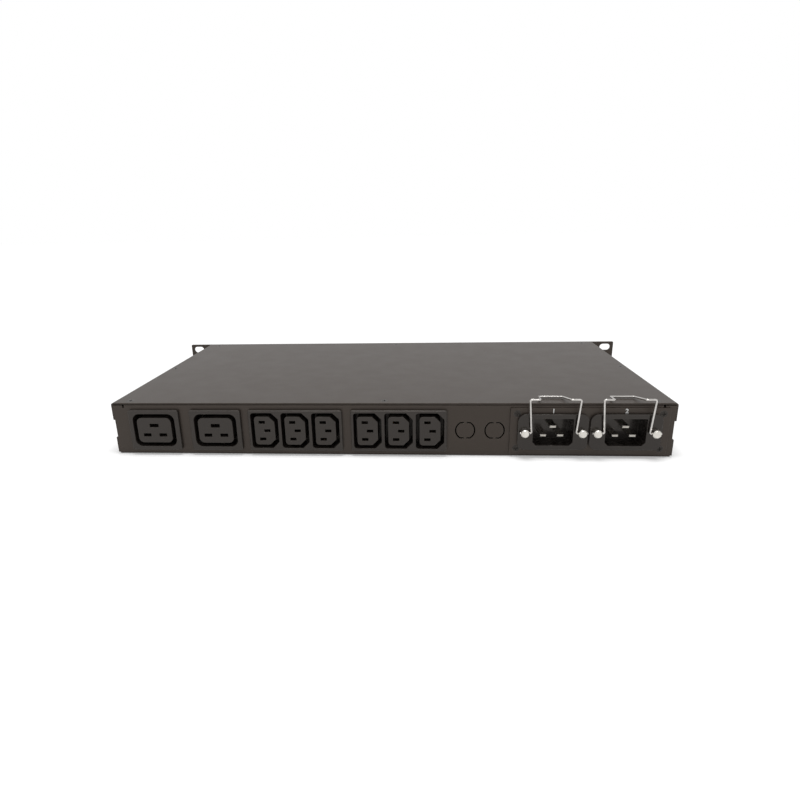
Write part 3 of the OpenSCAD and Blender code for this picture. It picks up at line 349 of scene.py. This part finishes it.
def number(text, x, z, height, face_y, material):
    """A plain number printed on a face that looks toward -Y, read from that side."""
    name = "inlet_number_" + text
    curve = bpy.data.curves.new(name, "FONT")
    curve.body = text
    curve.size = height * FONT_SIZE_PER_HEIGHT
    curve.align_x = "CENTER"
    curve.align_y = "CENTER"
    curve.extrude = 2 * INK_LIFT
    curve.offset = height * STROKE_GAIN
    curve.resolution_u = 6
    maker = bpy.data.objects.new("maker", curve)
    scene.collection.objects.link(maker)
    maker.rotation_euler = (math.radians(90), 0, 0)
    maker.location = (x, face_y - INK_LIFT, z)
    bpy.context.view_layer.update()
    depsgraph = bpy.context.evaluated_depsgraph_get()
    mesh = bpy.data.meshes.new_from_object(maker.evaluated_get(depsgraph))
    mesh.transform(maker.matrix_world)
    bpy.data.objects.remove(maker)
    mesh.name = name
    mesh.materials.clear()
    mesh.materials.append(material)
    piece = bpy.data.objects.new(name, mesh)
    scene.collection.objects.link(piece)
    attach(piece, "case")


DIGIT_HEIGHT = 3.4 * MM
DIGIT_BELOW_PLATE_TOP = 2.5 * MM
FONT_SIZE_PER_HEIGHT = 1.4
STROKE_GAIN = 0.035
INK_LIFT = 0.01 * MM

ink = printed_ink()
plate_low, plate_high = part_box("inlet_plate")
for text, blades in (("1", "inlet_blades_a"), ("2", "inlet_blades_b")):
    low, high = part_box(blades)
    middle = (low.x + high.x) / 2
    number(text, middle, plate_high.z - DIGIT_BELOW_PLATE_TOP, DIGIT_HEIGHT, plate_low.y, ink)


# ---------------------------------------------------------------- floor, background and lamps

def rays_to_backdrop(tree):
    """1 for camera, glossy and transmission rays, 0 for the rays that light surfaces."""
    path = tree.nodes.new("ShaderNodeLightPath")
    kinds = [path.outputs[k] for k in ("Is Camera Ray", "Is Glossy Ray", "Is Transmission Ray")]
    total = kinds[0]
    for kind in kinds[1:]:
        either = tree.nodes.new("ShaderNodeMath")
        either.operation = "MAXIMUM"
        tree.links.new(total, either.inputs[0])
        tree.links.new(kind, either.inputs[1])
        total = either.outputs[0]
    return total


LIGHT_LEVEL = 0.45

world = bpy.data.worlds.new("studio")
scene.world = world
world.use_nodes = True
tree = world.node_tree
tree.nodes.clear()
light = tree.nodes.new("ShaderNodeBackground")
light.inputs["Color"].default_value = (1, 1, 1, 1)
light.inputs["Strength"].default_value = LIGHT_LEVEL
backdrop = tree.nodes.new("ShaderNodeBackground")
backdrop.inputs["Color"].default_value = (1, 1, 1, 1)
backdrop.inputs["Strength"].default_value = 1.0
blend = tree.nodes.new("ShaderNodeMixShader")
tree.links.new(rays_to_backdrop(tree), blend.inputs["Fac"])
tree.links.new(light.outputs[0], blend.inputs[1])
tree.links.new(backdrop.outputs[0], blend.inputs[2])
world_out = tree.nodes.new("ShaderNodeOutputWorld")
tree.links.new(blend.outputs[0], world_out.inputs["Surface"])


def white_floor():
    """Matte white that keeps the object's shadow, with a glow for the rays that see the backdrop.

    The glow is weak near the object, so that its soft shadow stays, and whitens the floor further off.
    """
    g = Graph("floor_white")
    matte = g.add("ShaderNodeBsdfDiffuse")
    matte.inputs["Color"].default_value = (0.80, 0.80, 0.80, 1)
    distance = g.add("ShaderNodeVectorMath", operation="LENGTH")
    g.feed(distance.inputs[0], g.place)
    level = g.span(distance.outputs["Value"], 0.30, 1.0, 0.25, 0.72)
    glow = g.add("ShaderNodeEmission")
    glow.inputs["Color"].default_value = (1, 1, 1, 1)
    g.feed(glow.inputs["Strength"], g.math("MULTIPLY", rays_to_backdrop(g.tree), level))
    both = g.add("ShaderNodeAddShader")
    g.feed(both.inputs[0], matte.outputs[0])
    g.feed(both.inputs[1], glow.outputs[0])
    g.feed(g.out.inputs["Surface"], both.outputs[0])
    return g.material


FLOOR_REACH = 6.0
floor_z = cad_box[0][2]
corners = [(x * FLOOR_REACH, y * FLOOR_REACH, floor_z) for x, y in ((-1, -1), (1, -1), (1, 1), (-1, 1))]
floor_mesh = bpy.data.meshes.new("floor")
floor_mesh.from_pydata(corners, [], [(0, 1, 2, 3)])
floor_mesh.materials.append(white_floor())
floor = bpy.data.objects.new("floor", floor_mesh)
scene.collection.objects.link(floor)


def softbox(name, place, aim, size, power):
    """A rectangular lamp at `place` that faces `aim`."""
    lamp = bpy.data.lights.new(name, "AREA")
    lamp.shape = "RECTANGLE"
    lamp.size, lamp.size_y = size
    lamp.energy = power
    obj = bpy.data.objects.new(name, lamp)
    scene.collection.objects.link(obj)
    obj.location = place
    obj.rotation_euler = (Vector(aim) - Vector(place)).to_track_quat("-Z", "Y").to_euler()


softbox("overhead", (0.03, -0.25, 1.5), (0.03, -0.15, 0), (0.8, 0.5), 16)
softbox("front_fill", (-0.5, -1.7, 1.1), (0, -0.2, 0), (1.2, 0.8), 4)


# ---------------------------------------------------------------- camera

# The camera looks down by PITCH on the socket face, turned by YAW about the vertical.
PITCH, YAW, ROLL = (math.radians(angle) for angle in (17.187, -4.5315, -1.41))
CAMERA_PLACE = (0.02962, -0.62183, 0.15519)

level_turn = Matrix.Rotation(PITCH, 3, "X") @ Matrix.Rotation(YAW, 3, "Z")
right, ahead, up = Matrix.Rotation(ROLL, 3, "Y") @ level_turn
facing = Matrix((right, up, -ahead)).transposed().to_4x4()
camera = bpy.data.objects.new("camera", bpy.data.cameras.new("camera"))
scene.collection.objects.link(camera)
camera.matrix_world = Matrix.Translation(CAMERA_PLACE) @ facing
camera.data.sensor_width = 36.0
camera.data.lens = 24.92235
camera.data.shift_x = 0.0243875
camera.data.shift_y = -0.008725
camera.data.clip_start = 10 * MM
scene.camera = camera

scene.view_settings.view_transform = "Standard"
